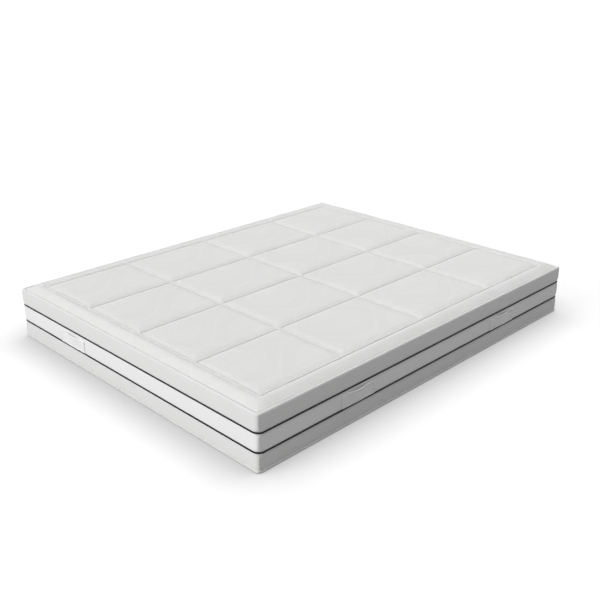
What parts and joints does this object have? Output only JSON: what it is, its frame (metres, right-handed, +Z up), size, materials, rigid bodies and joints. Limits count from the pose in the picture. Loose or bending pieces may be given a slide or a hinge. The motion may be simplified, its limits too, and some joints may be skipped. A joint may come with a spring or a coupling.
{
  "type": "memory foam mattress",
  "caption": "Memory foam mattress: layered foam core in a quilted zip-off cover with piped borders and fabric carry handles.",
  "frame": {"origin": "on the floor, midway between the side borders and midway between the end borders", "axes": "+Z up, X across the width, +Y along the length from the foot end (with its one handle) to the head end (with the zip)"},
  "size_m": [1.62, 2.013, 0.246],
  "materials": {
    "base_foam": "matte",
    "transition_foam": "matte",
    "memory_foam": "matte",
    "sleeve_knit": "matte",
    "cover_fabric": "matte",
    "base_fabric": "matte",
    "middle_fabric": "matte",
    "backing": "matte",
    "wadding": "matte",
    "handle_fabric": "matte",
    "piping_tape": "matte",
    "piping_cord": "matte",
    "zip_tape": "matte",
    "zip_coil": "satin",
    "zip_metal": "satin"
  },
  "bodies": {
    "mattress": {"base_backing": "backing", "base_fabric": "base_fabric", "base_foam": "base_foam", "base_wadding": "wadding", "core_sleeve": "sleeve_knit", "foot_handle": "handle_fabric", "foot_handle_backing": "backing", "left_foot_handle": "handle_fabric", "left_foot_handle_backing": "backing", "left_head_handle": "handle_fabric", "left_head_handle_backing": "backing", "lower_border_foot": "cover_fabric", "lower_border_head": "cover_fabric", "lower_border_left": "cover_fabric", "lower_border_right": "cover_fabric", "lower_lining": "wadding", "lower_piping_cord": "piping_cord", "lower_piping_cover": "piping_tape", "memory_foam": "memory_foam", "middle_border": "middle_fabric", "middle_lining": "wadding", "right_foot_handle": "handle_fabric", "right_foot_handle_backing": "backing", "right_head_handle": "handle_fabric", "right_head_handle_backing": "backing", "top_backing": "backing", "top_fabric": "cover_fabric", "top_wadding": "wadding", "transition_foam": "transition_foam", "upper_border_foot": "cover_fabric", "upper_border_head": "cover_fabric", "upper_border_left": "cover_fabric", "upper_border_right": "cover_fabric", "upper_lining": "wadding", "upper_piping_cord": "piping_cord", "upper_piping_cover": "piping_tape", "zip_coil_lower": "zip_coil", "zip_coil_upper": "zip_coil", "zip_end_stops": "zip_metal", "zip_tape_lower": "zip_tape", "zip_tape_upper": "zip_tape"},
    "slider": {"zip_slider": "zip_metal"},
    "pull_tab": {"zip_pull_tab": "zip_metal"}
  },
  "joints": [
    {"name": "zip_slide", "type": "slide", "parent": "mattress", "child": "slider", "axis": [1, 0, 0], "range_m": [0, 1.4764]},
    {"name": "pull_tab_hinge", "type": "hinge", "parent": "slider", "child": "pull_tab", "pos_m": [-0.7382, 1.0013, 0.141], "axis": [0, 0, 1], "range_deg": [0, 178]}
  ]
}
